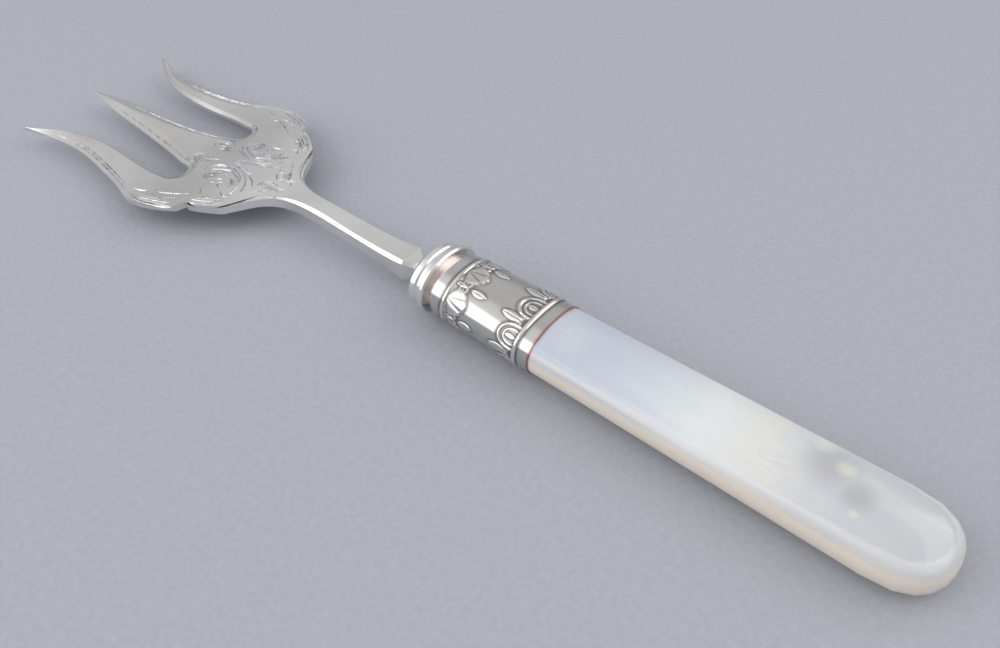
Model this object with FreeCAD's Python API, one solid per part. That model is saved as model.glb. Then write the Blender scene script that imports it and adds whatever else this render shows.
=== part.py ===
import FreeCAD, Part
import math
import os

from FreeCAD import Vector

# A bread fork: a silver-plated head with three tines, set in a mother-of-pearl handle behind a
# stamped silver ferrule.
# All sizes are in millimetres. The pieces are drawn along the axis of the handle: x runs from the
# rear end of the handle to the tips, z points up from the axis. At the end they are tipped to lie
# on a table, with the origin under the middle of the whole fork.

# Pearl handle
pearl_length = 71.3            # what shows behind the ferrule
pearl_rear_half_width = 8.72   # at the rear end, before it is rounded
pearl_rear_half_height = 4.79
pearl_front_half_width = 7.41  # at the ferrule
pearl_front_half_height = 4.42
pearl_squareness = 2.5         # exponent of its section: 2 is an ellipse
pearl_round_length = 10.8      # the rounded rear end
pearl_round_squareness = 2.32  # exponent of the rounding in plan
pearl_round_side = 3.4         # exponent of the rounding seen from the side
pearl_round_turns = (7, 20, 34, 49, 68, 90)

# Ferrule
ferrule_length = 22.2
ferrule_wall = 0.35
ferrule_stand = 0.22           # how far its rear rim stands proud of the pearl
ferrule_front_half_width = 7.0
ferrule_front_half_height = 5.1
ferrule_front_squareness = 2.2
front_bead_place = 2.7         # from the front edge
rear_bead_place = 3.1          # from the rear rim
bead_height = 0.3
bead_half_length = 0.45

# Bolster, from the ferrule to the neck: every step is an oval
collar_length = 1.6
collar_inset = 0.75            # how far the collar lies inside the ferrule's front edge
flange_half_width = 7.9
flange_half_height = 6.13
flange_length = 1.1
flange_bevel = 0.35
flange_flat_depth = 0.08       # rubbed off where the flange lies on the table
band_half_width = 7.1
band_half_height = 5.4
band_length = 2.5
band_groove_depth = 0.25
band_groove_half_length = 0.3
dome_length = 2.5
dome_turns = (90, 74, 60, 46, 32, 16, 0)
dome_fullness = 0.8            # exponents that shape the dome between the band and the neck
dome_roundness = 1.3
neck_radius = 1.7
neck_length = 1.0
neck_bead_radius = 2.15
neck_drop = 0.8                # the neck's centre lies this far under the axis
neck_facet = 0.9               # the neck's eight sides where it runs into the shank

# Shank
taper_length = 2.1             # the faceted end between the neck and the shank
shank_length = 32.6
shank_end_half_width = 2.95
shank_waist_half_width = 2.32
shank_chamfer = 0.55
shank_end_top = 1.3            # heights of the top face above the axis
shank_waist_top = 0.55
shank_shoulder_top = 0.72
shank_end_thickness = 5.0
shank_waist_thickness = 3.4

# Blade
blade_length = 24.0            # from the shank to the bottom of the gaps between the tines
rear_lobe_length = 14.2
blade_thickness = 1.5
blade_top = -0.1
rear_lobe_half_width = 15.95
lobe_step = 2.4                # how far the front lobe stands out past the rear one
step_half_length = 0.8
notch_depth = 0.4
front_lobe_half_width = 21.25
front_lobe_length = 12.0

# Tines
tine_length = 44.1
tine_thickness = 1.45
tine_tip_thickness = 0.95
tine_root_top = -2.45
tine_middle_top = -2.85
tine_tip_top = -3.55
gap_middle = 8.85              # distance of the middle of each gap from the centre line
gap_half_width = 2.75
outer_tip_half_span = 18.95    # middle of each outer tip
outer_waist_half_width = 16.6  # narrowest place across the outer tines
outer_tip_setback = 0.8        # the outer tips end this far behind the middle one
tip_half_width = 0.3
middle_bevel_width = 2.4
outer_bevel_width = 2.7
gap_bevel_width = 0.8
bevel_drop = 0.65
under_bevel_width = 0.5        # the softened edges of the underside
under_bevel_drop = 0.32

# Engraving of the blade: strokes with a V-shaped section, finest at their ends
stroke_width = 0.5
stroke_depth = 0.12
stroke_end_share = 0.3         # of the full width, at each end of a stroke
stroke_step = 2.2              # between the sections along a stroke
reed_insets = (0.95, 2.2)      # lines that follow the edges of the lobes

# Tang and its bore
tang_length = 58.0
tang_rear_half_width = 1.1
tang_front_half_width = 1.9
tang_front_half_height = 1.5
bore_radius = 2.6
bore_clearance = 1.5           # resin behind the end of the tang

# Places along the axis
ferrule_rear_x = pearl_length
ferrule_front_x = ferrule_rear_x + ferrule_length
flange_rear_x = ferrule_front_x + collar_length
flange_front_x = flange_rear_x + flange_length
band_front_x = flange_front_x + band_length
dome_front_x = band_front_x + dome_length
neck_front_x = dome_front_x + neck_length
shank_start_x = neck_front_x + taper_length
blade_root_x = shank_start_x + shank_length
throat_x = blade_root_x + blade_length
tip_x = throat_x + tine_length
outer_tip_x = tip_x - outer_tip_setback
step_x = blade_root_x + rear_lobe_length
lobe_widest_x = step_x + front_lobe_length

# Sizes of the tools that cut, larger than what they cut
reach = 60.0
margin = 0.6
overrun = 1.2                  # how far a bevel's tool goes on past the end of a tine

curve_steps = 40
arris_turns = (19.0, 42.0)     # where the lengthwise edges of the pearl lie round its section
half_turn = 180
band_pieces = 2                # short arcs that make up one arc of the section
broad_pieces = 9
side_pieces = 3
oval_pieces = 18


def between(start, end, share):
    return start + (end - start) * share


def smooth_curve(points, start_direction=None, end_direction=None):
    """A curve through the points, with the directions given at its ends."""
    knots = [Vector(*point) for point in points]
    lengths = [0.0]
    for last, point in zip(knots, knots[1:]):
        lengths.append(lengths[-1] + last.distanceToPoint(point))
    options = {"Points": knots, "Parameters": lengths}
    if start_direction is not None:
        options["InitialTangent"] = Vector(*start_direction).normalize()
        options["FinalTangent"] = Vector(*end_direction).normalize()
        options["Scale"] = False
    curve = Part.BSplineCurve()
    curve.interpolate(**options)
    return curve


def height_at(curve, x):
    """The z of a lengthwise curve at a place x."""
    low = curve.FirstParameter
    high = curve.LastParameter
    for _ in range(curve_steps):
        middle = (low + high) / 2
        if curve.value(middle).x < x:
            low = middle
        else:
            high = middle
    return curve.value((low + high) / 2).z


def solid_loft(wires, ruled=False):
    return Part.makeLoft(wires, True, ruled)


def oval(x, half_width, half_height, z=0.0):
    """An oval across the axis, made of short arcs."""
    turns = [math.pi * k / oval_pieces for k in range(2 * oval_pieces)]
    points = [Vector(x, half_width * math.cos(turn), z + half_height * math.sin(turn)) for turn in turns]
    points.append(points[0])
    return Part.Wire([Part.Arc(*points[k:k + 3]).toShape() for k in range(0, 2 * oval_pieces, 2)])


def section_point(x, half_width, half_height, squareness, turn):
    """A point of the handle's section, which lies between an ellipse and a rectangle."""
    c = math.cos(math.radians(turn))
    s = math.sin(math.radians(turn))
    y = half_width * math.copysign(abs(c) ** (2 / squareness), c)
    z = half_height * math.copysign(abs(s) ** (2 / squareness), s)
    return Vector(x, y, z)


def short_arcs(arc, pieces):
    """An arc cut into equal pieces."""
    shares = [k / (2 * pieces) for k in range(2 * pieces + 1)]
    points = [arc.value(between(arc.FirstParameter, arc.LastParameter, share)) for share in shares]
    return [Part.Arc(*points[k:k + 3]).toShape() for k in range(0, 2 * pieces, 2)]


def handle_section(x, half_width, half_height, squareness):
    """Eight arcs: a crowned top and underside, two sides and the four bands between them."""
    side, shoulder = arris_turns
    spans = [(side, shoulder, band_pieces),
             (shoulder, half_turn - shoulder, broad_pieces),
             (half_turn - shoulder, half_turn - side, band_pieces),
             (half_turn - side, half_turn + side, side_pieces)]
    spans += [(start + half_turn, end + half_turn, pieces) for start, end, pieces in spans]
    edges = []
    for start, end, pieces in spans:
        turns = (start, (start + end) / 2, end)
        points = [section_point(x, half_width, half_height, squareness, turn) for turn in turns]
        edges += short_arcs(Part.Arc(*points), pieces)
    return Part.Wire(edges)


def pearl_section(x, width_share=1.0, height_share=1.0):
    """The pearl's section at a place along its taper, less what the rounded end takes off it."""
    share = x / pearl_length
    half_width = between(pearl_rear_half_width, pearl_front_half_width, share)
    half_height = between(pearl_rear_half_height, pearl_front_half_height, share)
    return handle_section(x, half_width * width_share, half_height * height_share, pearl_squareness)


def ferrule_section(x, extra=0.0):
    """The ferrule's outer section, from near oval at its front to the pearl's shape at its rear."""
    share = (x - ferrule_rear_x) / ferrule_length
    half_width = between(pearl_front_half_width + ferrule_stand, ferrule_front_half_width, share)
    half_height = between(pearl_front_half_height + ferrule_stand, ferrule_front_half_height, share)
    squareness = between(pearl_squareness, ferrule_front_squareness, share)
    return handle_section(x, half_width + extra, half_height + extra, squareness)


def ferrule_core():
    """The space inside the ferrule, which the pearl fills."""
    return solid_loft([ferrule_section(ferrule_rear_x, -ferrule_wall),
                       ferrule_section(ferrule_front_x, -ferrule_wall)], True)


def bead(x):
    """Places and heights of a ring of metal round the ferrule."""
    half = bead_half_length
    return [(x - half, 0), (x - half / 2, bead_height), (x + half / 2, bead_height), (x + half, 0)]


def make_ferrule():
    steps = [(ferrule_rear_x, 0)]
    steps += bead(ferrule_rear_x + rear_bead_place)
    steps += bead(ferrule_front_x - front_bead_place)
    steps.append((ferrule_front_x, 0))
    sleeve = solid_loft([ferrule_section(x, height) for x, height in steps], True)
    return sleeve.cut(ferrule_core())


def bore():
    """The drilled hole for the tang."""
    depth = tang_length + bore_clearance
    return Part.makeCylinder(bore_radius, depth, Vector(ferrule_front_x, 0, 0), Vector(-1, 0, 0))


def make_pearl_handle():
    sections = []
    for turn in pearl_round_turns:
        across = math.sin(math.radians(turn)) ** (2 / pearl_round_squareness)
        along = math.cos(math.radians(turn)) ** (2 / pearl_round_squareness)
        lift = (1 - along ** pearl_round_side) ** (1 / pearl_round_squareness)
        sections.append(pearl_section(pearl_round_length * (1 - along), across, lift))
    sections.append(pearl_section(pearl_length))
    return solid_loft(sections, True).fuse(ferrule_core()).cut(bore())


def tang():
    rear_x = ferrule_front_x - tang_length
    rear = Part.makePolygon([Vector(rear_x, y, z) for y, z in corners_of(tang_rear_half_width,
                                                                         tang_rear_half_width)])
    front = Part.makePolygon([Vector(ferrule_front_x, y, z) for y, z in
                              corners_of(tang_front_half_width, tang_front_half_height)])
    return solid_loft([rear, front], True)


def corners_of(half_width, half_height):
    return [(half_width, half_height), (-half_width, half_height), (-half_width, -half_height),
            (half_width, -half_height), (half_width, half_height)]


def make_tang_cement():
    return bore().cut(tang())


def eight_sides(x, half_width, half_height, cut, z):
    """A rectangle across the axis with its corners cut off."""
    w, h = half_width, half_height
    points = [(w, h - cut), (w - cut, h), (cut - w, h), (-w, h - cut),
              (-w, cut - h), (cut - w, -h), (w - cut, -h), (w, cut - h)]
    points.append(points[0])
    return Part.makePolygon([Vector(x, y, z + dz) for y, dz in points])


def resting_tilt():
    """The angle between the axis and the table, in degrees."""
    rise = flange_half_height - flange_flat_depth - pearl_rear_half_height
    return math.degrees(math.atan2(rise, flange_rear_x - pearl_round_length))


def under_the_table():
    """The space under the table, as the fork lies on it with its flange and its rear end."""
    block = Part.makeBox(flange_front_x, 2 * flange_half_width, flange_half_height,
                         Vector(0, -flange_half_width, -flange_half_height))
    block.rotate(Vector(0, 0, 0), Vector(0, 1, 0), resting_tilt())
    block.translate(Vector(pearl_round_length, 0, -pearl_rear_half_height))
    return block


def bolster():
    """The collar, the flange, its front band and the dome that runs down to the neck."""
    collar_half_width = ferrule_front_half_width - collar_inset
    collar_half_height = ferrule_front_half_height - collar_inset
    pieces = [solid_loft([oval(ferrule_front_x, collar_half_width, collar_half_height),
                          oval(flange_rear_x, collar_half_width, collar_half_height)], True)]
    rim = [oval(flange_rear_x, flange_half_width - flange_bevel, flange_half_height - flange_bevel),
           oval(flange_rear_x + flange_bevel, flange_half_width, flange_half_height),
           oval(flange_front_x - flange_bevel, flange_half_width, flange_half_height),
           oval(flange_front_x, flange_half_width - flange_bevel, flange_half_height - flange_bevel)]
    pieces.append(solid_loft(rim, True).cut(under_the_table()))
    groove_x = (flange_front_x + band_front_x) / 2
    groove = band_groove_half_length
    steps = ((flange_front_x, 0), (groove_x - groove, 0), (groove_x, -band_groove_depth),
             (groove_x + groove, 0), (band_front_x, 0))
    pieces.append(solid_loft([oval(x, band_half_width + extra, band_half_height + extra)
                              for x, extra in steps], True))
    dome = []
    for turn in dome_turns:
        share = math.sin(math.radians(turn))
        x = band_front_x + dome_length * (1 - share ** 2) ** dome_fullness
        dome.append(oval(x, between(neck_radius, band_half_width, share ** dome_roundness),
                         between(neck_radius, band_half_height, share ** dome_roundness),
                         -neck_drop * (1 - share)))
    pieces.append(solid_loft(dome, True))
    neck = [oval(dome_front_x, neck_radius, neck_radius, -neck_drop),
            oval(dome_front_x + neck_length * 0.3, neck_bead_radius, neck_bead_radius, -neck_drop),
            oval(dome_front_x + neck_length * 0.7, neck_bead_radius, neck_bead_radius, -neck_drop),
            oval(neck_front_x, neck_radius, neck_radius, -neck_drop)]
    pieces.append(solid_loft(neck, True))
    shank_centre = shank_end_top - shank_end_thickness / 2
    pieces.append(solid_loft([
        eight_sides(neck_front_x, neck_radius, neck_radius, neck_facet, -neck_drop),
        eight_sides(shank_start_x, shank_end_half_width, shank_end_thickness / 2, shank_chamfer, shank_centre),
    ], True))
    return pieces


def top_line():
    """The top face seen from the side, from the shank's end to the tips."""
    return smooth_curve([
        (shank_start_x, 0, shank_end_top),
        (between(shank_start_x, blade_root_x, 0.42), 0, shank_waist_top),
        (between(shank_start_x, blade_root_x, 0.74), 0, shank_shoulder_top),
        (blade_root_x + 2, 0, between(blade_top, shank_shoulder_top, 0.3)),
        (between(blade_root_x, throat_x, 0.54), 0, blade_top),
        (between(blade_root_x, throat_x, 0.95), 0, between(blade_top, tine_root_top, 0.55)),
        (between(throat_x, tip_x, 0.21), 0, tine_root_top),
        (between(throat_x, tip_x, 0.55), 0, tine_middle_top),
        (between(throat_x, tip_x, 0.82), 0, between(tine_middle_top, tine_tip_top, 0.4)),
        (tip_x + margin, 0, tine_tip_top),
    ])


def under_line(top):
    """The underside seen from the side: the top line less the thickness of the metal."""
    stations = [
        (shank_start_x, shank_end_thickness),
        (between(shank_start_x, blade_root_x, 0.42), shank_waist_thickness),
        (between(shank_start_x, blade_root_x, 0.85), shank_waist_thickness * 0.95),
        (between(blade_root_x, throat_x, 0.3), between(shank_waist_thickness, blade_thickness, 0.75)),
        (between(blade_root_x, throat_x, 0.6), blade_thickness),
        (throat_x, blade_thickness),
        (between(throat_x, tip_x, 0.5), tine_thickness),
        (tip_x + margin, tine_tip_thickness),
    ]
    return smooth_curve([(x, 0, height_at(top, min(x, tip_x)) - thickness) for x, thickness in stations])


def side_solid(top, under):
    """All that lies between the top face and the underside."""
    ends = [(top.StartPoint, under.StartPoint), (under.EndPoint, top.EndPoint)]
    edges = [top.toShape(), under.toShape()] + [Part.LineSegment(a, b).toShape() for a, b in ends]
    face = Part.Face(Part.Wire(Part.__sortEdges__(edges)))
    face.translate(Vector(0, -reach, 0))
    return face.extrude(Vector(0, 2 * reach, 0))


def shank_edge():
    """The side of the shank and of the rear lobe, from the shank's end to the step."""
    return smooth_curve([
        (shank_start_x, shank_end_half_width, 0),
        (between(shank_start_x, blade_root_x, 0.25), between(shank_waist_half_width, shank_end_half_width, 0.4), 0),
        (between(shank_start_x, blade_root_x, 0.6), shank_waist_half_width, 0),
        (between(shank_start_x, blade_root_x, 0.84), shank_waist_half_width * 1.02, 0),
        (blade_root_x, shank_waist_half_width * 1.5, 0),
        (between(blade_root_x, step_x, 0.2), rear_lobe_half_width * 0.36, 0),
        (between(blade_root_x, step_x, 0.4), rear_lobe_half_width * 0.68, 0),
        (between(blade_root_x, step_x, 0.68), rear_lobe_half_width * 0.89, 0),
        (step_x - step_half_length, rear_lobe_half_width, 0),
    ], (1, -0.06, 0), (1, 0.15, 0))


def outer_edge():
    """The outer side of the front lobe and of its tine, from the step to the tip."""
    corner = rear_lobe_half_width + lobe_step
    widest = front_lobe_half_width
    waist = outer_waist_half_width
    return smooth_curve([
        (step_x + step_half_length, rear_lobe_half_width + lobe_step * 0.85, 0),
        (between(step_x, lobe_widest_x, 0.36), between(corner, widest, 0.58), 0),
        (between(step_x, lobe_widest_x, 0.7), between(corner, widest, 0.9), 0),
        (lobe_widest_x, widest, 0),
        (between(lobe_widest_x, tip_x, 0.115), between(widest, waist, 0.28), 0),
        (between(lobe_widest_x, tip_x, 0.305), between(widest, waist, 0.69), 0),
        (between(lobe_widest_x, tip_x, 0.453), between(widest, waist, 0.915), 0),
        (between(lobe_widest_x, tip_x, 0.6), waist, 0),
        (between(lobe_widest_x, tip_x, 0.747), between(waist, outer_tip_half_span, 0.19), 0),
        (between(lobe_widest_x, tip_x, 0.884), between(waist, outer_tip_half_span, 0.68), 0),
        (outer_tip_x, outer_tip_half_span + tip_half_width, 0),
    ], (0.55, 1, 0), (1, 0.3, 0))


def inner_edge():
    """The side of an outer tine along the gap, from the bottom of the gap to the tip."""
    side = gap_middle + gap_half_width
    return smooth_curve([
        (throat_x + gap_half_width, side, 0),
        (between(throat_x, tip_x, 0.14), side + 0.25, 0),
        (between(throat_x, tip_x, 0.3), side - 0.05, 0),
        (between(throat_x, tip_x, 0.44), side - 0.3, 0),
        (between(throat_x, tip_x, 0.56), side - 0.1, 0),
        (between(throat_x, tip_x, 0.67), side + 0.6, 0),
        (between(throat_x, tip_x, 0.79), between(side, outer_tip_half_span, 0.3), 0),
        (between(throat_x, tip_x, 0.89), between(side, outer_tip_half_span, 0.6), 0),
        (outer_tip_x, outer_tip_half_span - tip_half_width, 0),
    ], (1, 0, 0), (1, 0.75, 0))


def middle_edge():
    """The side of the middle tine, from the bottom of the gap to the tip."""
    side = gap_middle - gap_half_width
    return smooth_curve([
        (throat_x + gap_half_width, side, 0),
        (between(throat_x, tip_x, 0.16), side * 0.88, 0),
        (between(throat_x, tip_x, 0.3), side * 0.71, 0),
        (between(throat_x, tip_x, 0.5), side * 0.54, 0),
        (between(throat_x, tip_x, 0.7), side * 0.41, 0),
        (between(throat_x, tip_x, 0.85), side * 0.26, 0),
        (tip_x - tip_half_width, tip_half_width, 0),
    ], (1, 0, 0), (1, -0.25, 0))


def throat_arc():
    """The round bottom of a gap, from the middle tine to the outer one."""
    x = throat_x + gap_half_width
    return Part.Arc(Vector(x, gap_middle - gap_half_width, 0), Vector(throat_x, gap_middle, 0),
                    Vector(x, gap_middle + gap_half_width, 0))


def half_outline():
    """The edges of one side of the head, from the shank's end to the middle tine's tip."""
    shank = shank_edge()
    outer = outer_edge()
    inner = inner_edge()
    middle = middle_edge()
    notch = Vector(step_x, rear_lobe_half_width - notch_depth, 0)
    outer_tip = Part.Arc(outer.EndPoint, Vector(outer_tip_x + tip_half_width, outer_tip_half_span, 0),
                         inner.EndPoint)
    return [shank.toShape(), Part.LineSegment(shank.EndPoint, notch).toShape(),
            Part.LineSegment(notch, outer.StartPoint).toShape(), outer.toShape(), outer_tip.toShape(),
            inner.toShape(), throat_arc().toShape(), middle.toShape()]


def plan_solid():
    """The outline of the head, drawn out up and down."""
    side = half_outline()
    other = [edge.mirror(Vector(0, 0, 0), Vector(0, 1, 0)) for edge in side]
    shank_half = Vector(shank_start_x, shank_end_half_width, 0)
    tip_half = Vector(tip_x - tip_half_width, tip_half_width, 0)
    closing = [Part.LineSegment(shank_half, Vector(shank_half.x, -shank_half.y, 0)).toShape(),
               Part.Arc(tip_half, Vector(tip_x, 0, 0), Vector(tip_half.x, -tip_half.y, 0)).toShape()]
    face = Part.Face(Part.Wire(Part.__sortEdges__(side + other + closing)))
    face.translate(Vector(0, 0, -reach))
    return face.extrude(Vector(0, 0, 2 * reach))


def bevel_tool(curve, side, sizes, surface, up=1, goes_on=0.0):
    """Cuts a sloping face along an edge, down from the top face or up from the underside.

    The metal lies on the side of positive or negative y. The sizes are pairs of width and drop, at
    even steps along the edge. The tool can go on straight past the edge's end."""
    wires = []
    for k, (width, drop) in enumerate(sizes):
        share = k / (len(sizes) - 1)
        parameter = between(curve.FirstParameter, curve.LastParameter, share)
        along = curve.tangent(parameter)[0]
        foot = curve.value(parameter) + along * (goes_on if share == 1 else 0)
        ridge = foot + Vector(-along.y, along.x, 0) * (side * width)
        top_z = height_at(surface, min(foot.x, tip_x))
        foot.z = top_z - up * drop
        ridge.z = top_z
        slope = (foot - ridge).normalize() * margin
        inner = ridge - slope
        outer = foot + slope
        lift = Vector(outer.x, outer.y, inner.z + up * margin)
        wires.append(Part.makePolygon([inner, outer, lift, inner]))
    return solid_loft(wires)


def tapered(widths, drops, width, drop):
    """Pairs of width and drop, as shares of the full ones."""
    return [(width * w, drop * d) for w, d in zip(widths, drops)]


def bevel_tools(top):
    """The bevels of one side of the head: down the tines, round the gap and along the shank."""
    throat_width = middle_bevel_width * 0.65
    middle = tapered((0.65, 0.85, 1.0, 1.05, 1.1, 1.1), (0.7, 0.9, 1.0, 1.0, 1.0, 1.0),
                     middle_bevel_width, bevel_drop)
    throat = [(between(throat_width, gap_bevel_width, share), bevel_drop * 0.7)
              for share in (0.0, 0.25, 0.5, 0.75, 1.0)]
    inner = tapered((1, 1, 1, 1, 1, 1), (0.7, 0.7, 0.75, 0.8, 0.8, 0.8), gap_bevel_width, bevel_drop)
    outer = tapered((0.1, 0.2, 0.6, 0.95, 1.0, 0.95, 0.7, 0.3), (-1.0, -0.8, -0.1, 0.8, 1.0, 1.0, 1.0, 0.9),
                    outer_bevel_width, bevel_drop)
    shank = tapered((1, 1, 1, 1, 1, 1, 1), (1, 1, 1, 0.95, 0.3, -1.0, -2.0), shank_chamfer, shank_chamfer)
    return [bevel_tool(middle_edge(), -1, middle, top, goes_on=overrun),
            bevel_tool(throat_arc(), 1, throat, top),
            bevel_tool(inner_edge(), 1, inner, top, goes_on=overrun),
            bevel_tool(outer_edge(), -1, outer, top, goes_on=overrun),
            bevel_tool(shank_edge(), -1, shank, top)]


def under_tools(under):
    """The softened edges of one side of the underside."""
    size = (under_bevel_width, under_bevel_drop)
    faded = (under_bevel_width * 0.3, under_bevel_drop * 0.3)
    tine = [size] * 5 + [(under_bevel_width, under_bevel_drop * 0.6)]
    shank = [(shank_chamfer, shank_chamfer)] * 4 + [size, size, faded]
    return [bevel_tool(middle_edge(), -1, tine, under, -1, overrun),
            bevel_tool(throat_arc(), 1, [size] * 5, under, -1),
            bevel_tool(inner_edge(), 1, tine, under, -1, overrun),
            bevel_tool(outer_edge(), -1, [faded] + [size] * 2 + tine[1:], under, -1, overrun),
            bevel_tool(shank_edge(), -1, shank, under, -1)]


def stroke_tool(curve, surface):
    """An engraved line along a curve on the top face."""
    slope = stroke_width / 2 / stroke_depth
    steps = max(3, round(curve.length() / stroke_step))
    wires = []
    for k in range(steps + 1):
        share = k / steps
        parameter = between(curve.FirstParameter, curve.LastParameter, share)
        along = curve.tangent(parameter)[0]
        point = curve.value(parameter)
        point.z = height_at(surface, point.x)
        depth = stroke_depth * between(stroke_end_share, 1, math.sin(math.pi * share))
        half = Vector(-along.y, along.x, 0) * ((depth + stroke_depth) * slope)
        top = point + Vector(0, 0, stroke_depth)
        corners = [top + half, top - half, point - Vector(0, 0, depth)]
        wires.append(Part.makePolygon(corners + corners[:1]))
    return solid_loft(wires, True)


def on_blade(*places):
    """A curve through places on the blade.

    The first number runs from the shank to the bottom of the gaps, the second from the centre
    line to the edge of the rear lobe."""
    return smooth_curve([(between(blade_root_x, throat_x, along), rear_lobe_half_width * across, 0)
                         for along, across in places])


def inset_line(edge, start, end, inset):
    """A curve that follows part of an edge, inside it."""
    points = []
    for k in range(5):
        parameter = between(edge.FirstParameter, edge.LastParameter, between(start, end, k / 4))
        along = edge.tangent(parameter)[0]
        point = edge.value(parameter) + Vector(along.y, -along.x, 0) * inset
        points.append((point.x, point.y, 0))
    return smooth_curve(points)


def engraving():
    """The lines of one side: a large scroll with its eye, nested arcs, leaves and reeded lobes."""
    lines = [
        on_blade((0.42, 0.345), (0.53, 0.18), (0.66, 0.14), (0.80, 0.20), (0.88, 0.35), (0.85, 0.44)),
        on_blade((0.67, 0.42), (0.71, 0.48), (0.775, 0.476), (0.80, 0.41)),
        on_blade((0.454, 0.50), (0.463, 0.41), (0.517, 0.33), (0.56, 0.31)),
        on_blade((0.39, 0.47), (0.42, 0.36), (0.504, 0.25), (0.60, 0.20)),
        on_blade((0.317, 0.50), (0.35, 0.345), (0.42, 0.226)),
        on_blade((0.296, 0.28), (0.379, 0.17), (0.483, 0.12), (0.69, 0.05)),
        on_blade((0.858, 0.075), (0.94, 0.138), (1.0, 0.169), (1.09, 0.138)),
        on_blade((0.93, 0.27), (1.0, 0.295), (1.09, 0.25), (1.14, 0.20)),
        on_blade((0.067, 0.138), (0.121, 0.119), (0.171, 0.176), (0.208, 0.27)),
        on_blade((0.14, 0.044), (0.19, 0.031), (0.25, 0.06), (0.28, 0.138), (0.292, 0.22)),
    ]
    rear_edge = shank_edge()
    front_edge = outer_edge()
    for k, inset in enumerate(reed_insets):
        lines.append(inset_line(rear_edge, 0.86 + 0.02 * k, 0.985, inset))
        lines.append(inset_line(front_edge, 0.04, 0.25 - 0.03 * k, inset))
    return lines


def make_fork_head():
    top = top_line()
    under = under_line(top)
    plate = plan_solid().common(side_solid(top, under))
    tools = bevel_tools(top) + under_tools(under)
    tools += [stroke_tool(line, top) for line in engraving()]
    tools += [tool.mirror(Vector(0, 0, 0), Vector(0, 1, 0)) for tool in tools]
    return plate.cut(tools).fuse(bolster() + [tang()]).removeSplitter()


def lying_on_table(shapes):
    """Tips the fork until flange and handle touch the table, and centres it over the origin."""
    for shape in shapes.values():
        shape.rotate(Vector(0, 0, 0), Vector(0, 1, 0), -resting_tilt())
    box = Part.makeCompound(list(shapes.values())).optimalBoundingBox(False, False)
    for shape in shapes.values():
        shape.translate(Vector(-(box.XMin + box.XMax) / 2, 0, -box.ZMin))
    return shapes


def main():
    os.makedirs("parts", exist_ok=True)
    shapes = lying_on_table({
        "fork_head": make_fork_head(),
        "ferrule": make_ferrule(),
        "pearl_handle": make_pearl_handle(),
        "tang_cement": make_tang_cement(),
    })
    for name, shape in shapes.items():
        solid = shape.Solids[0] if len(shape.Solids) == 1 else shape
        solid.exportStep(f"parts/{name}.step")
        print(name, len(shape.Solids), "solid", shape.isValid(), round(shape.Volume, 1), "mm3")


main()
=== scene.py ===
import math
import bmesh
import bpy
import numpy as np
from mathutils import Matrix, Vector
from mathutils.bvhtree import BVHTree


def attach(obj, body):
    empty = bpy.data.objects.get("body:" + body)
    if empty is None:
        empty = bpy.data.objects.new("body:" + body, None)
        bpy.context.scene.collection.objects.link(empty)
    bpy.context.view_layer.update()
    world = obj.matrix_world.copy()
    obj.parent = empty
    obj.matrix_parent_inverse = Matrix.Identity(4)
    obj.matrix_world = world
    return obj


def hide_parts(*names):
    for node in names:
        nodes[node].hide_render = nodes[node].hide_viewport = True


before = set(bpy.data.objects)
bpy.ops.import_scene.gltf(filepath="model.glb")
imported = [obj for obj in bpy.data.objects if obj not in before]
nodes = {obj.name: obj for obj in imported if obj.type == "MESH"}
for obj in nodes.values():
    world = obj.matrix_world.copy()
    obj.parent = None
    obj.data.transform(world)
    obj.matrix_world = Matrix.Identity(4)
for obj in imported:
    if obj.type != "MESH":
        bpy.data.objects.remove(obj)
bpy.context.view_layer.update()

# A bread fork with a pearl handle, dressed around its construction.
# Sizes are in millimetres where no note says otherwise, and mm turns them into the scene's metres.
mm = 0.001
print("frame loaded")

# how the handle's middle line lies in the shared frame
handleLine = {
    "shiftX": -102.5403,
    "shiftZ": 4.6281,
    "tilt": 0.8563,        # degrees
}

sameCorner = 2e-7          # metres; corners of a copied mesh that lie closer are one
noLength = 1e-7            # metres; edges shorter than this vanish


def newObject(name, mesh, material):
    obj = bpy.data.objects.new(name, mesh)
    bpy.context.scene.collection.objects.link(obj)
    obj.data.materials.clear()
    obj.data.materials.append(material)
    return obj


def editMesh(mesh, change):
    # lets a function change the faces and edges, and puts the result back
    bm = bmesh.new()
    bm.from_mesh(mesh)
    change(bm)
    bm.to_mesh(mesh)
    bm.free()


def mergedCopy(node):
    mesh = nodes[node].data.copy()

    def merge(bm):
        bmesh.ops.remove_doubles(bm, verts=bm.verts, dist=sameCorner)
        bmesh.ops.dissolve_degenerate(bm, edges=bm.edges, dist=noLength)

    editMesh(mesh, merge)
    return mesh


def handlePlaces(points):
    # from the shared frame to the handle's own line: 0 at the handle's end, heights from its middle
    x = points[:, 0] / mm - handleLine["shiftX"]
    z = points[:, 2] / mm - handleLine["shiftZ"]
    tilt = math.radians(handleLine["tilt"])
    along = x * math.cos(tilt) + z * math.sin(tilt)
    up = z * math.cos(tilt) - x * math.sin(tilt)
    return np.stack([along, points[:, 1] / mm, up], 1)


def framePlaces(points):
    # the other way, into metres
    tilt = math.radians(handleLine["tilt"])
    x = points[:, 0] * math.cos(tilt) - points[:, 2] * math.sin(tilt) + handleLine["shiftX"]
    z = points[:, 0] * math.sin(tilt) + points[:, 2] * math.cos(tilt) + handleLine["shiftZ"]
    return np.stack([x, points[:, 1], z], 1) * mm


def signedPower(value, power):
    return np.sign(value) * np.abs(value) ** power


def roundedOblong(turn, squareness):
    # a point of a rounded oblong whose half width and half height are one
    power = 2 / squareness
    return signedPower(np.cos(np.radians(turn)), power), signedPower(np.sin(np.radians(turn)), power)


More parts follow.
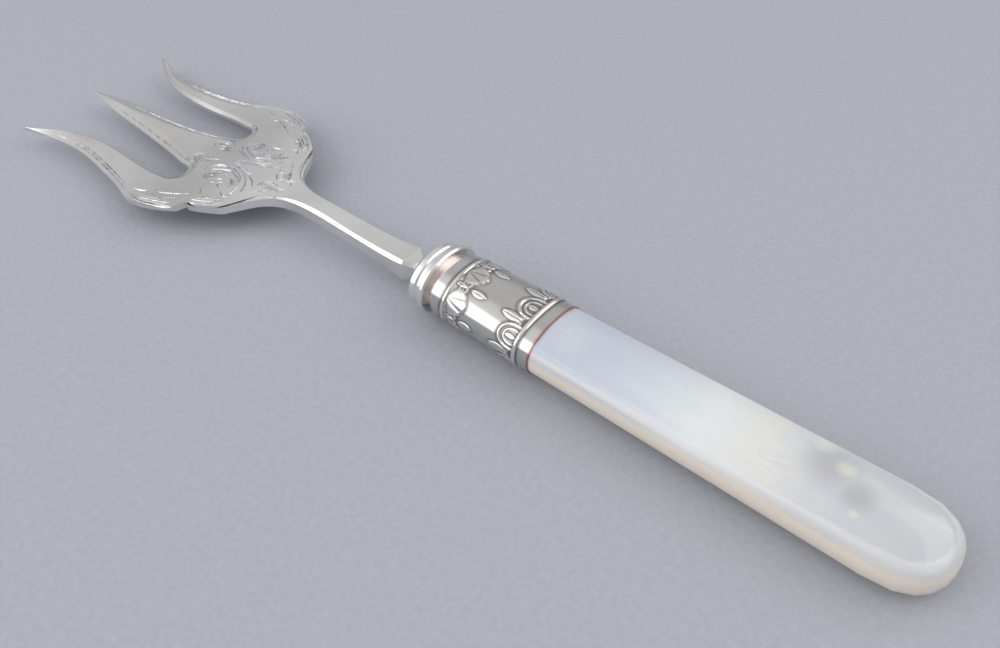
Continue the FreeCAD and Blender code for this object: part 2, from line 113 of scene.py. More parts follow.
class TreeWriter:
    # a short way to write node trees
    def __init__(self, tree):
        self.tree = tree

    def add(self, kind, inputs=None, **settings):
        node = self.tree.nodes.new(kind)
        for key, value in settings.items():
            setattr(node, key, value)
        for key, value in (inputs or {}).items():
            self.put(node, key, value)
        return node

    def put(self, node, key, value):
        if isinstance(value, bpy.types.NodeSocket):
            self.tree.links.new(value, node.inputs[key])
        else:
            node.inputs[key].default_value = value

    def result(self, kind, inputs=None, **settings):
        return self.add(kind, inputs, **settings).outputs[0]

    def calculate(self, operation, *values):
        return self.result("ShaderNodeMath", dict(enumerate(values)), operation=operation)

    def product(self, a, b):
        return self.calculate("MULTIPLY", a, b)

    def larger(self, a, b):
        return self.calculate("MAXIMUM", a, b)


class MaterialTree(TreeWriter):
    def __init__(self, name):
        self.material = bpy.data.materials.new(name)
        self.material.use_nodes = True
        super().__init__(self.material.node_tree)
        self.shader = self.tree.nodes["Principled BSDF"]

    def surface(self, **values):
        # underscores in the names stand for spaces
        for key, value in values.items():
            self.put(self.shader, key.replace("_", " "), value)

    def objectPlace(self):
        return self.add("ShaderNodeTexCoord").outputs["Object"]

    def stretched(self, scale=(1, 1, 1), turn=(0, 0, 0)):
        place = self.objectPlace()
        return self.result("ShaderNodeMapping", {"Vector": place, "Scale": scale, "Rotation": turn})

    def axis(self, letter):
        return self.add("ShaderNodeSeparateXYZ", {0: self.objectPlace()}).outputs[letter]

    def noise(self, vector, scale, detail=3, roughness=0.5, distortion=0.0):
        inputs = {"Vector": vector, "Scale": scale, "Detail": detail}
        inputs.update({"Roughness": roughness, "Distortion": distortion})
        return self.add("ShaderNodeTexNoise", inputs).outputs["Fac"]

    def ramp(self, factor, stops):
        node = self.add("ShaderNodeValToRGB", {"Fac": factor})
        paintRamp(node.color_ramp, stops)
        return node.outputs["Color"]

    def span(self, value, low, high):
        return self.result("ShaderNodeMapRange", {"Value": value, "To Min": low, "To Max": high})

    def smooth(self, value, low, high):
        # nothing up to the low value, one from the high value on
        inputs = {"Value": value, "From Min": low, "From Max": high}
        return self.result("ShaderNodeMapRange", inputs, interpolation_type="SMOOTHSTEP")

    def between(self, value, low, high):
        # the same for places in millimetres
        return self.smooth(value, low * mm, high * mm)

    def spot(self, place, radius, softness, mirrored=False):
        # one in the middle of a spot, nothing outside it
        here = self.objectPlace()
        if mirrored:
            here = self.result("ShaderNodeVectorMath", {0: here}, operation="ABSOLUTE")
        middle = tuple(c * mm for c in place)
        away = self.add("ShaderNodeVectorMath", {0: here, 1: middle}, operation="DISTANCE").outputs["Value"]
        inputs = {"Value": away, "From Min": radius * (1 - softness) * mm, "From Max": radius * mm}
        inputs.update({"To Min": 1.0, "To Max": 0.0})
        return self.result("ShaderNodeMapRange", inputs, interpolation_type="SMOOTHSTEP")

    def mix(self, factor, a, b):
        node = self.add("ShaderNodeMix", {"Factor": factor}, data_type="RGBA")
        for index, color in ((6, a), (7, b)):
            self.put(node, index, (*color, 1) if isinstance(color, tuple) else color)
        return node.outputs[2]

    def attribute(self, name):
        return self.add("ShaderNodeAttribute", attribute_name=name).outputs["Fac"]

    def bump(self, height, distance):
        node = self.add("ShaderNodeBump", {"Height": height, "Distance": distance * mm, "Strength": 1.0})
        self.surface(Normal=node.outputs["Normal"])


def paintRamp(ramp, stops):
    for k, (place, color) in enumerate(stops):
        element = ramp.elements[k] if k < 2 else ramp.elements.new(place)
        element.position = place
        element.color = (*color, 1)


silverLook = {
    "fresh": (0.90, 0.895, 0.88),
    "toned": (0.80, 0.785, 0.76),
    "toneAt": (0.3, 0.62),            # of the wide noise
    "toneScale": 90,
    "smoothest": 0.17,
    "dullest": 0.26,
    "scratchStretch": (60, 900, 400),
    "scratchDepth": 0.002,
    "recess": (0.66, 0.47, 0.42),     # the pink line behind the flange
    "recessShare": 0.4,
    "recessRear": (-8.7, -8.2),       # where its colour begins and ends, along the fork
    "recessFront": (-7.2, -7.8),
    "shaded": (0.44, 0.43, 0.44),     # hatched patches among the engraved scrolls
    "shading": 0.75,
    "grainStretch": (1, 0.3, 1),
    "grainTurn": (0, 0, 0.7),
    "grainScale": 3200,
    # middle and radius of each patch, the same on both sides
    "patches": [((51.9, 6.3, 6.3), 1.7), ((45.6, 5.6, 6.8), 1.4), ((57.6, 2.3, 5.6), 1.3),
                ((60.2, 3.4, 5.3), 1.2), ((38.6, 2.5, 6.9), 1.2), ((45.9, 12.6, 6.8), 1.3)],
}


def silverPlate():
    look = silverLook
    m = MaterialTree("silverPlate")
    wide = m.noise(m.stretched(), look["toneScale"])
    tone = m.ramp(wide, list(zip(look["toneAt"], (look["toned"], look["fresh"]))))
    shade = 0.0
    for place, radius in look["patches"]:
        shade = m.larger(shade, m.spot(place, radius, 0.5, mirrored=True))
    grain = m.noise(m.stretched(look["grainStretch"], look["grainTurn"]), look["grainScale"], 1)
    shade = m.product(m.product(shade, m.span(grain, 0.15, 1.0)), look["shading"])
    x = m.axis("X")
    recess = m.product(m.between(x, *look["recessRear"]), m.between(x, *look["recessFront"]))
    tone = m.mix(shade, tone, look["shaded"])
    tone = m.mix(m.product(recess, look["recessShare"]), tone, look["recess"])
    fine = m.noise(m.stretched(look["scratchStretch"]), 8, 2)
    roughness = m.span(fine, look["smoothest"], look["dullest"])
    m.surface(Base_Color=tone, Roughness=roughness, Metallic=1.0)
    m.bump(fine, look["scratchDepth"])
    return m.material


cutLook = {
    "tones": [(0.35, (0.42, 0.41, 0.43)), (0.6, (0.80, 0.80, 0.82))],
    "toneScale": 700,
    "roughness": 0.22,
}


def cutSilver():
    # the engraver's cuts, darker in places where polish collects
    m = MaterialTree("cutSilver")
    tone = m.ramp(m.noise(m.stretched(), cutLook["toneScale"], 2), cutLook["tones"])
    m.surface(Base_Color=tone, Roughness=cutLook["roughness"], Metallic=1.0)
    return m.material


stampedLook = {
    # the hollows' tone: tarnish, and painted shade where the relief shades itself
    "hollow": (0.26, 0.235, 0.22),
    "ground": (0.61, 0.595, 0.58),
    "raised": (0.80, 0.79, 0.775),
    "toneAt": (0.18, 0.47, 0.72),     # from hollow to raised
    "worn": (0.55, 0.20, 0.13),       # the copper at the rear rim
    "grime": 0.08,
    "grimeScale": 220,
    "dullest": 0.30,
    "smoothest": 0.06,
    "pitScale": 1500,
    "pitDepth": 0.002,
}


def stampedSilver():
    look = stampedLook
    m = MaterialTree("stampedSilver")
    stain = m.noise(m.stretched(), look["grimeScale"], 4, 0.6)
    # darker in the hollows, for tarnish and as painted shade, lighter on the raised places
    height = m.calculate("ADD", m.attribute("hollowness"), m.span(stain, -look["grime"], look["grime"]))
    tone = m.ramp(height, list(zip(look["toneAt"], (look["hollow"], look["ground"], look["raised"]))))
    tone = m.mix(m.attribute("wornRim"), tone, look["worn"])
    roughness = m.span(height, look["dullest"], look["smoothest"])
    m.surface(Base_Color=tone, Roughness=roughness, Metallic=1.0)
    m.bump(m.noise(m.stretched(), look["pitScale"], 2), look["pitDepth"])
    return m.material


pearlLook = {
    # colours along the handle, from the ferrule to the end, as they show in plain light
    "along": [(-37, (0.56, 0.62, 0.73)), (-47, (0.69, 0.74, 0.80)), (-60, (0.83, 0.865, 0.87)),
              (-74, (0.83, 0.82, 0.79)), (-86, (0.66, 0.68, 0.72)), (-99, (0.60, 0.635, 0.66))],
    "waver": 6,                       # how far they run into each other
    "flow": dict(scale=55, detail=5, roughness=0.6, distortion=1.2),
    "flowStretch": (1, 2.6, 2.6),
    "layers": dict(scale=120, detail=3, roughness=0.6, distortion=2.4),
    "layerStretch": (1.2, 5, 9),
    "layerTurn": (0, 0, 0.22),
    "layerDepth": 0.006,
    "cream": (0.80, 0.77, 0.69),
    "creamFrom": (0.52, 0.72),        # of the flow
    "creamShare": 0.35,
    "blue": (0.62, 0.66, 0.74),
    "blueFrom": (0.50, 0.66),         # of the layers
    "blueShare": 0.22,
    "cloud": (0.38, 0.36, 0.40),
    "clouds": [((-81, -2.0, 9.4), 6.5), ((-86.5, 1.0, 9.6), 4.2)],
    "rainbow": [(0.30, (0.50, 0.62, 0.80)), (0.42, (0.88, 0.90, 0.86)), (0.50, (0.80, 0.85, 0.55)),
                (0.58, (0.90, 0.88, 0.80)), (0.68, (0.74, 0.56, 0.70))],
    "rainbowShare": 0.62,
    "faintRainbow": 0.07,             # away from the painted sheen: the nacre's own faint play of colour
    # places of painted sheen, where the nacre's play of colour caught the light: middle, radius and
    # strength
    "sheenSpots": [((-78.4, -5.6, 8.8), 3.4, 1.0), ((-83.2, -2.6, 9.5), 2.7, 1.0),
                ((-36, 1.5, 10), 5.0, 0.45), ((-87.3, 4.1, 9.2), 1.2, 1.0)],
    "edgeHeight": 8.35,               # of the crease between the top and the side
    "edgeWaver": 0.4,
    "band": (0.80, 0.80, 0.80),       # a painted highlight: the pale band below that crease
    "bandShare": 0.75,
    # colours of the side below the crease: a warmer nacre, and painted light that makes that side brighter
    "warmLitSide": [(0.94, 0.82, 0.69), (0.92, 0.83, 0.73)],
    "softness": 0.9,
    "roughness": 0.24,
}


def motherOfPearl():
    look = pearlLook
    m = MaterialTree("motherOfPearl")
    flow = m.noise(m.stretched(look["flowStretch"]), **look["flow"])
    layers = m.noise(m.stretched(look["layerStretch"], look["layerTurn"]), **look["layers"])

    first = look["along"][0][0]
    last = look["along"][-1][0]
    stops = [((first - at) / (first - last), color) for at, color in look["along"]]
    x = m.calculate("ADD", m.axis("X"), m.span(flow, -look["waver"] * mm, look["waver"] * mm))
    color = m.ramp(m.between(x, first, last), stops)
    color = m.mix(m.product(m.smooth(flow, *look["creamFrom"]), look["creamShare"]), color, look["cream"])
    color = m.mix(m.product(m.smooth(layers, *look["blueFrom"]), look["blueShare"]), color, look["blue"])

    cloud = 0.0
    for place, radius in look["clouds"]:
        cloud = m.larger(cloud, m.spot(place, radius, look["softness"]))
    color = m.mix(m.product(cloud, m.span(flow, 0.25, 0.85)), color, look["cloud"])
    # painted sheen: the nacre's play of colour, laid on strongest at the places where it caught the light
    paintedSheen = 0.0
    for place, radius, strength in look["sheenSpots"]:
        paintedSheen = m.larger(paintedSheen, m.product(m.spot(place, radius, look["softness"]), strength))
    paintedSheen = m.larger(m.product(paintedSheen, look["rainbowShare"]), look["faintRainbow"])
    color = m.mix(paintedSheen, color, m.ramp(layers, look["rainbow"]))

    top = look["edgeHeight"]
    z = m.calculate("ADD", m.axis("Z"), m.span(flow, -look["edgeWaver"] * mm, look["edgeWaver"] * mm))
    # the side below the crease: warmer nacre colour, painted lighter as if lit from that side
    color = m.mix(m.between(z, top - 0.5, top - 2.6), color, m.mix(flow, *look["warmLitSide"]))
    # painted highlight: a pale band along the side just below the crease
    band = m.product(m.between(z, top + 0.05, top - 0.25), m.between(z, top - 1.7, top - 0.6))
    color = m.mix(m.product(band, look["bandShare"]), color, look["band"])

    m.surface(Base_Color=color, Roughness=look["roughness"], Coat_Weight=0.5, Coat_Roughness=0.06)
    m.surface(Subsurface_Weight=0.12, Subsurface_Radius=(0.8, 0.7, 0.6), Subsurface_Scale=1 * mm)
    m.bump(layers, look["layerDepth"])
    return m.material


resinLook = {
    "tones": [(0.3, (0.12, 0.07, 0.04)), (0.7, (0.20, 0.12, 0.07))],
    "toneScale": 300,
    "roughness": 0.6,
}


def darkResin():
    m = MaterialTree("darkResin")
    tone = m.ramp(m.noise(m.stretched(), resinLook["toneScale"]), resinLook["tones"])
    m.surface(Base_Color=tone, Roughness=resinLook["roughness"])
    return m.material


silver = silverPlate()
brightCut = cutSilver()
stamped = stampedSilver()
pearl = motherOfPearl()
nodeMaterials = {"tang_cement": darkResin(), "ferrule": stamped, "pearl_handle": pearl, "fork_head": silver}
for node, material in nodeMaterials.items():
    nodes[node].data.materials.clear()
    nodes[node].data.materials.append(material)
print("materials ready")


headSizes = {
    # inputs of the node trees
    "Width": 0.34,             # of a stroke, on the blade's face
    "Depth": 0.11,
    "End Share": 0.3,          # of both, at a stroke's ends
    "Clearance": 0.12,         # how far a cutter stands above the face
    "Step": 0.35,              # from point to point of a stroke
    "Spacing": 0.62,           # from tick to tick
    "Length": 0.8,             # of a tick
    "Step Share": 0.2,         # of that length, from point to point of a tick
    # the blade
    "bladeRoot": 34.36,        # where the shank ends, along the fork
    "faceSpan": (0.2, 9.0),    # the face is looked for between these distances from the middle line
    "halfWidth": 21.5,
    "rayStart": 50.0,          # height from which the metal is looked for
    # lines beside the edges
    "placeStep": 0.7,
    "fewestPlaces": 5,
    "middleGap": 0.25,         # they end this near to the middle line
    # faces of the strokes that the blade already has
    "cutSpan": (0.5, 31.0),    # from the blade's root
    "cutHalfWidth": 18.0,
    "cutSlope": (0.7, 0.955),  # the upward share of the face's direction
    "cutDepth": (-0.16, -0.004),
    # shading: a turn sharper than this many degrees shows as a crease
    "broadLevel": 0.82,        # faces that look up or down more than this are the broad ones
    "broadLimit": 7,
    "roundLimit": 25,
}
strokeInputs = ("Width", "Depth", "End Share", "Clearance", "Step")
tickInputs = ("Width", "Depth", "End Share", "Clearance", "Spacing", "Length", "Step Share")

# places from the blade's root and from the middle line, for one side
strokes = [
    # round the large scroll
    [(10.1, 3.5), (11.6, 2.6), (13.1, 2.0)],
    [(18.1, 2.3), (19.6, 2.9), (20.6, 3.8)],
    [(11.0, 6.1), (12.0, 4.7), (13.2, 3.8), (14.4, 3.2), (16.1, 3.4),
     (18.3, 4.2), (19.7, 5.2), (19.9, 6.2), (19.3, 6.9)],
    [(16.9, 5.9), (17.7, 6.5), (18.4, 5.9)],
    # short arcs beyond it
    [(8.3, 9.2), (9.2, 9.9), (10.4, 9.7), (11.4, 8.8)],
    [(12.0, 9.1), (13.0, 8.3), (14.1, 8.0), (15.6, 8.1)],
    # towards the middle tine
    [(21.9, 1.6), (23.4, 1.9), (24.9, 1.6)],
    [(23.6, 3.8), (24.6, 3.9), (25.8, 3.3)],
    [(26.2, 1.5), (27.3, 2.5), (27.7, 3.7), (27.2, 4.7)],
    # beside the shank
    [(3.1, 2.5), (4.2, 3.5), (5.2, 4.6), (6.6, 6.3)],
    [(1.1, 0.8), (2.1, 1.3), (3.3, 1.4)],
    # on the lobes
    [(13.4, 13.0), (14.3, 11.7), (15.9, 10.7)],
    [(8.9, 8.6), (9.4, 10.2), (10.4, 11.6), (11.8, 12.4), (12.9, 12.1)],
    [(15.8, 13.4), (17.8, 14.6), (20.0, 15.6), (22.2, 16.3), (23.6, 16.0)],
    [(24.9, 16.4), (25.0, 17.3), (26.0, 17.9), (28.1, 18.3)],
    # dashes
    [(14.3, 6.2), (15.6, 7.0)],
    [(13.2, 6.9), (14.3, 7.5)],
    [(22.6, 6.6), (23.8, 7.0)],
]

tickPaths = [
    [(11.0, 1.5), (14.4, 0.9), (16.6, 0.35)],
    [(9.0, 8.4), (9.6, 6.6), (11.2, 4.9), (12.6, 4.2)],
    [(14.2, 5.1), (15.6, 4.5), (17.2, 4.9), (18.4, 5.4)],
    [(8.6, 10.9), (9.7, 12.7), (11.2, 13.6)],
    [(17.2, 16.1), (19.6, 17.2), (22.2, 17.7)],
    [(4.4, 1.3), (5.4, 1.6), (6.2, 2.6)],
]

# lines inside the outer edge of the middle tine (0) or of the metal furthest out (-1): from, to, inset
edgeLines = [
    (0, 26.0, 56.0, 0.95),
    (-1, 29.5, 58.0, 0.9),
    (-1, 31.0, 54.0, 1.5),
    (-1, 8.2, 13.6, 0.5),
    (-1, 8.6, 13.4, 1.55),
    (-1, 15.2, 25.0, 0.5),
    (-1, 15.4, 24.2, 1.55),
    (-1, 0.8, 6.8, 0.55),
]


class ShapeTree(TreeWriter):
    # a geometry node tree with a named input for each size
    def __init__(self, name, inputs):
        super().__init__(bpy.data.node_groups.new(name, "GeometryNodeTree"))
        sockets = self.tree.interface
        sockets.new_socket(name="Geometry", in_out="INPUT", socket_type="NodeSocketGeometry")
        for key in inputs:
            socket = sockets.new_socket(name=key, in_out="INPUT", socket_type="NodeSocketFloat")
            socket.default_value = headSizes[key]
        sockets.new_socket(name="Material", in_out="INPUT", socket_type="NodeSocketMaterial")
        sockets.new_socket(name="Geometry", in_out="OUTPUT", socket_type="NodeSocketGeometry")
        self.given = self.add("NodeGroupInput").outputs

    def alongY(self, value):
        return self.result("ShaderNodeCombineXYZ", {"Y": value})

    def resampled(self, curve, step):
        inputs = {"Curve": curve, "Length": step}
        return self.result("GeometryNodeResampleCurve", inputs, mode="LENGTH")

    def moved(self, shape, way):
        return self.result("GeometryNodeTransform", {"Geometry": shape, "Translation": way})

    def finish(self, shape):
        shape = self.result("GeometryNodeRealizeInstances", {"Geometry": shape})
        inputs = {"Geometry": shape, "Material": self.given["Material"]}
        shape = self.result("GeometryNodeSetMaterial", inputs)
        self.tree.links.new(shape, self.add("NodeGroupOutput").inputs[0])
        return self.tree


def cutterAlong(t, path, step):
    # a bar that tapers to its ends, with a sharp lower edge and its widest place above the face
    path = t.resampled(path, step)
    path = t.result("GeometryNodeSetCurveNormal", {"Curve": path}, mode="Z_UP")
    clearance = t.given["Clearance"]
    reach = t.calculate("ADD", t.given["Depth"], clearance)
    width = t.calculate("DIVIDE", t.product(t.given["Width"], reach), t.given["Depth"])
    inputs = {"Width": width, "Bottom Height": clearance, "Top Height": reach}
    kite = t.result("GeometryNodeCurvePrimitiveQuadrilateral", inputs, mode="KITE")
    kite = t.moved(kite, t.alongY(t.product(clearance, -1.0)))
    share = t.add("GeometryNodeSplineParameter").outputs["Factor"]
    wave = t.calculate("SINE", t.product(share, math.pi))
    swell = t.result("ShaderNodeMapRange", {"Value": wave, "To Min": t.given["End Share"]})
    inputs = {"Curve": path, "Profile Curve": kite, "Scale": swell, "Fill Caps": True}
    return t.result("GeometryNodeCurveToMesh", inputs)


def strokeTree():
    t = ShapeTree("engravedStroke", strokeInputs)
    return t.finish(cutterAlong(t, t.given["Geometry"], t.given["Step"]))


def tickTree():
    t = ShapeTree("engravedTicks", tickInputs)
    length = t.given["Length"]
    line = t.result("GeometryNodeCurvePrimitiveLine", {"Start": (0, 0, 0), "End": t.alongY(length)})
    tick = cutterAlong(t, line, t.product(length, t.given["Step Share"]))
    tick = t.moved(tick, t.alongY(t.product(length, -0.5)))
    row = t.resampled(t.given["Geometry"], t.given["Spacing"])
    along = t.result("GeometryNodeInputTangent")
    turn = t.result("FunctionNodeAlignRotationToVector", {"Vector": along}, axis="X", pivot_axis="Z")
    inputs = {"Points": row, "Instance": tick, "Rotation": turn}
    return t.finish(t.result("GeometryNodeInstanceOnPoints", inputs))


def applied(obj, tree, inputs):
    # the object's shape after the node tree, as a plain mesh
    modifier = obj.modifiers.new("shape", "NODES")
    modifier.node_group = tree
    for item in tree.interface.items_tree:
        if item.in_out == "INPUT" and item.name in inputs:
            modifier[item.identifier] = inputs[item.name]
    depsgraph = bpy.context.evaluated_depsgraph_get()
    mesh = bpy.data.meshes.new_from_object(obj.evaluated_get(depsgraph))
    obj.modifiers.remove(modifier)
    return mesh


def topFinder(mesh):
    # gives the height of the metal at a place, or nothing beside it
    bm = bmesh.new()
    bm.from_mesh(mesh)
    rays = BVHTree.FromBMesh(bm)
    bm.free()

    def topAt(x, y):
        start = Vector((x * mm, y * mm, headSizes["rayStart"] * mm))
        hit = rays.ray_cast(start, Vector((0, 0, -1)))[0]
        return None if hit is None else hit.z / mm

    return topAt


def faceHeight(topAt, x):
    # the blade's face lies higher than the cuts in it and the bevels beside it
    heights = [topAt(x, y) for y in np.linspace(*headSizes["faceSpan"], 12)]
    return max(height for height in heights if height is not None)


def outerEdge(topAt, stretch, x):
    # metal and gaps alternate across the fork; each stretch of metal ends at its outer edge
    across = np.arange(0.02, headSizes["halfWidth"], 0.04)
    metal = [topAt(x, y) is not None for y in across]
    changes = np.flatnonzero(np.diff([False] + metal + [False]))
    return across[changes[1::2][stretch] - 1]


def edgeLine(topAt, stretch, start, end, inset):
    s = headSizes
    count = max(s["fewestPlaces"], round((end - start) / s["placeStep"]))
    edge = np.array([(along, outerEdge(topAt, stretch, s["bladeRoot"] + along))
                     for along in np.linspace(start, end, count)])
    way = np.gradient(edge, axis=0)
    way = way / np.linalg.norm(way, axis=1)[:, None]
    inward = np.stack([-way[:, 1], way[:, 0]], 1)
    inward = inward * np.sign(1e-9 - inward[:, 1:2])
    return [tuple(place) for place in edge + inward * inset if place[1] > s["middleGap"]]


def strokeCurve(places, heightAt, side):
    data = bpy.data.curves.new("stroke", "CURVE")
    data.dimensions = "3D"
    data.resolution_u = 12
    spline = data.splines.new("BEZIER")
    spline.bezier_points.add(len(places) - 1)
    for point, (along, across) in zip(spline.bezier_points, places):
        x = headSizes["bladeRoot"] + along
        point.co = (x, side * across, heightAt(x, across))
        point.handle_left_type = "AUTO"
        point.handle_right_type = "AUTO"
    return data


def madeCutter(tree, places, heightAt, side, inputs):
    guide = bpy.data.objects.new("guide", strokeCurve(places, heightAt, side))
    bpy.context.scene.collection.objects.link(guide)
    mesh = applied(guide, tree, inputs)
    bpy.data.objects.remove(guide)
    mesh.transform(Matrix.Scale(mm, 4))

    def turnOutwards(bm):
        bmesh.ops.recalc_face_normals(bm, faces=bm.faces)
        for face in bm.faces:
            face.material_index = 0

    editMesh(mesh, turnOutwards)
    return newObject("cutter", mesh, brightCut)


def madeCutters(topAt):
    def onFace(x, y):
        return faceHeight(topAt, x)

    besideEdges = [edgeLine(topAt, *line) for line in edgeLines]
    oneStroke = strokeTree()
    sets = [(oneStroke, strokes, onFace), (oneStroke, besideEdges, topAt), (tickTree(), tickPaths, onFace)]
    inputs = dict(headSizes, Material=brightCut)
    cutters = []
    for tree, paths, heightAt in sets:
        for places in paths:
            for side in (1, -1):
                cutters.append(madeCutter(tree, places, heightAt, side, inputs))
    return cutters


def brightenStrokes(mesh, topAt):
    # the strokes that the blade already has get the look of the new ones
    s = headSizes
    for face in mesh.polygons:
        x, y, z = (c / mm for c in face.center)
        inSpan = s["cutSpan"][0] < x - s["bladeRoot"] < s["cutSpan"][1] and abs(y) < s["cutHalfWidth"]
        if not inSpan or not s["cutSlope"][0] < face.normal.z < s["cutSlope"][1]:
            continue
        if s["cutDepth"][0] < z - faceHeight(topAt, x) < s["cutDepth"][1]:
            face.material_index = 1


def shadeHead(bm):
    for face in bm.faces:
        face.smooth = True
    for edge in bm.edges:
        level = min(abs(face.normal.z) for face in edge.link_faces)
        limit = headSizes["broadLimit"] if level > headSizes["broadLevel"] else headSizes["roundLimit"]
        edge.smooth = edge.calc_face_angle(0) < math.radians(limit)


def engravedHead():
    mesh = mergedCopy("fork_head")
    topAt = topFinder(mesh)
    cutters = madeCutters(topAt)
    blank = newObject("headBlank", mesh, silver)
    blank.data.materials.append(brightCut)
    for cutter in cutters:
        modifier = blank.modifiers.new("cut", "BOOLEAN")
        modifier.operation = "DIFFERENCE"
        modifier.solver = "MANIFOLD"
        modifier.object = cutter
    depsgraph = bpy.context.evaluated_depsgraph_get()
    carved = bpy.data.meshes.new_from_object(blank.evaluated_get(depsgraph))
    for obj in cutters + [blank]:
        bpy.data.objects.remove(obj)
    brightenStrokes(carved, topAt)
    editMesh(carved, shadeHead)
    head = bpy.data.objects.new("forkHeadCut", carved)
    bpy.context.scene.collection.objects.link(head)
    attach(head, "root")
    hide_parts("fork_head")
    print("head engraved,", len(carved.polygons), "faces")


ferruleSizes = {
    "rearX": 71.3,                 # the rear rim, along the handle's line
    "length": 22.2,
    "rear": (7.63, 4.64, 2.5),     # half width, half height, squareness
    "front": (7.0, 5.1, 2.2),
    "middle": (7.3, 4.9, 2.35),    # the section along which the relief is laid out
    "wall": 0.35,
    "beads": (3.1, 19.5),          # from the rear rim
    "beadHeight": 0.3,
    "beadHalfLength": 0.45,
    "relief": 0.24,
    "repeats": 6,
    "columns": 420,
    "rows": 190,
    "sharpTurn": 50,               # degrees
    "hollowReach": 14,             # rounds of smoothing behind the darkening of the hollows
    "hollowRange": 0.16,
    "rimWear": 0.5,                # how far the copper shows from the rear rim
    # the stamped forms: places from the rear rim, strengths as shares of the relief
    "arch": {"middle": 4.3, "halfWidth": 2.25, "length": 2.75, "scale": 2.4,
             "lineWidth": 0.30, "strength": 0.95},
    "innerArch": {"share": 0.62, "lineWidth": 0.2, "strength": 0.6},
    "archLeaf": {"start": 3.5, "length": 2.2, "halfWidth": 0.55},
    "archLeafStrength": 0.8,
    "bud": {"start": 4.2, "length": 4.6, "halfWidth": 0.85},
    "budStrength": 1.05,
    "budFoot": {"aside": 0.85, "middle": 4.6, "radius": 0.4, "lineWidth": 0.22, "strength": 0.7},
    "rise": {"start": 3.3, "end": 3.6, "power": 6},    # how the arches come up beside the rear bead
    "shell": {"foot": 19.1, "halfWidth": 2.95, "length": 4.5, "flutes": 3.5, "scallop": 0.05, "edge": 7},
    "shellLow": {"flute": 0.35, "foot": 0.45},         # what is left of its height in its lowest places
    "curl": {"aside": 0.7, "middle": 2.0, "radius": 0.72, "lineWidth": 0.28, "dot": 0.3, "strength": 0.85},
    "curlLeaf": {"start": 16.6, "length": 2.8, "halfWidth": 0.5},
    "tipLeaf": {"start": 12.4, "length": 3.4, "halfWidth": 0.75},
    "midrib": {"width": 0.12, "depth": 0.45},
}


def ridge(distance, width):
    return np.exp(-(distance / width) ** 2)


def petal(across, along, start, length, halfWidth):
    # a pointed leaf with a midrib, from its foot to its tip
    share = np.clip((along - start) / length, 0, 1)
    half = halfWidth * np.sin(np.pi * share) ** 0.7 + 1e-6
    body = np.sqrt(np.clip(1 - (across / half) ** 2, 0, 1)) * (share > 0) * (share < 1)
    midrib = ferruleSizes["midrib"]
    return body * (1 - midrib["depth"] * ridge(across, midrib["width"]))


def archRow(v, u, between):
    # arches that stand on the rear bead, with a smaller one and a leaf inside, and buds between them
    s = ferruleSizes
    arch = s["arch"]
    ring = np.sqrt((u / arch["halfWidth"]) ** 2 + ((v - arch["middle"]) / arch["length"]) ** 2)
    outer = ridge((ring - 1) * arch["scale"], arch["lineWidth"]) * arch["strength"]
    inner = s["innerArch"]
    inner = ridge((ring - inner["share"]) * arch["scale"], inner["lineWidth"]) * inner["strength"]
    leaf = petal(u, v, **s["archLeaf"]) * s["archLeafStrength"]
    foot = s["budFoot"]
    away = np.hypot(between - foot["aside"], v - foot["middle"]) - foot["radius"]
    bud = petal(between, v, **s["bud"]) * s["budStrength"]
    bud = bud + ridge(away, foot["lineWidth"]) * foot["strength"]
    rise = np.clip(v / s["rise"]["end"], 0, 1) ** s["rise"]["power"] * (v > s["rise"]["start"])
    return np.maximum(outer + inner + leaf, bud) * rise


def shellRow(v, u, between):
    # fluted shells that hang from the front bead, with curls and leaves between them
    s = ferruleSizes
    shell = s["shell"]
    front = shell["foot"] - v
    across = u / shell["halfWidth"]
    radius = np.hypot(across, front / shell["length"])
    angle = np.arctan2(across, np.clip(front, 1e-3, None) / shell["length"])
    flute = np.abs(np.cos(angle * shell["flutes"]))
    fan = np.clip((1.0 + shell["scallop"] * flute - radius) * shell["edge"], 0, 1)
    low = s["shellLow"]
    fan = fan * (low["flute"] + (1 - low["flute"]) * flute ** 0.6)
    fan = fan * (low["foot"] + (1 - low["foot"]) * radius)
    curl = s["curl"]
    away = np.hypot(between - curl["aside"], front - curl["middle"])
    scroll = ridge(away - curl["radius"], curl["lineWidth"]) + ridge(away, curl["dot"])
    scroll = (scroll + petal(between, v, **s["curlLeaf"])) * curl["strength"]
    leaf = petal(between, v, **s["tipLeaf"])
    return np.where(front > 0, np.maximum(fan, np.maximum(scroll, leaf)), 0)


def ferruleRelief(v, u, cell):
    # v runs from the rear rim, u across one repeat from the middle of its arch
    between = cell / 2 - np.abs(u)
    stamped = np.maximum(archRow(v, u, between), shellRow(v, u, between))
    lift = ferruleSizes["relief"] * np.clip(stamped, 0, 1.1)
    for bead in ferruleSizes["beads"]:
        share = (v - bead) / ferruleSizes["beadHalfLength"]
        lift = np.maximum(lift, ferruleSizes["beadHeight"] * np.sqrt(np.clip(1 - share ** 2, 0, 1)))
    return lift


def evenTurns():
    # turns at even steps round the middle section, from the top, with each one's distance from there
    halfWidth, halfHeight, squareness = ferruleSizes["middle"]
    turns = np.linspace(90, 450, 3601)
    y, z = roundedOblong(turns, squareness)
    steps = np.hypot(np.diff(y * halfWidth), np.diff(z * halfHeight))
    lengths = np.concatenate([[0], np.cumsum(steps)])
    around = np.arange(ferruleSizes["columns"]) * lengths[-1] / ferruleSizes["columns"]
    return np.interp(around, lengths, turns), around, lengths[-1]


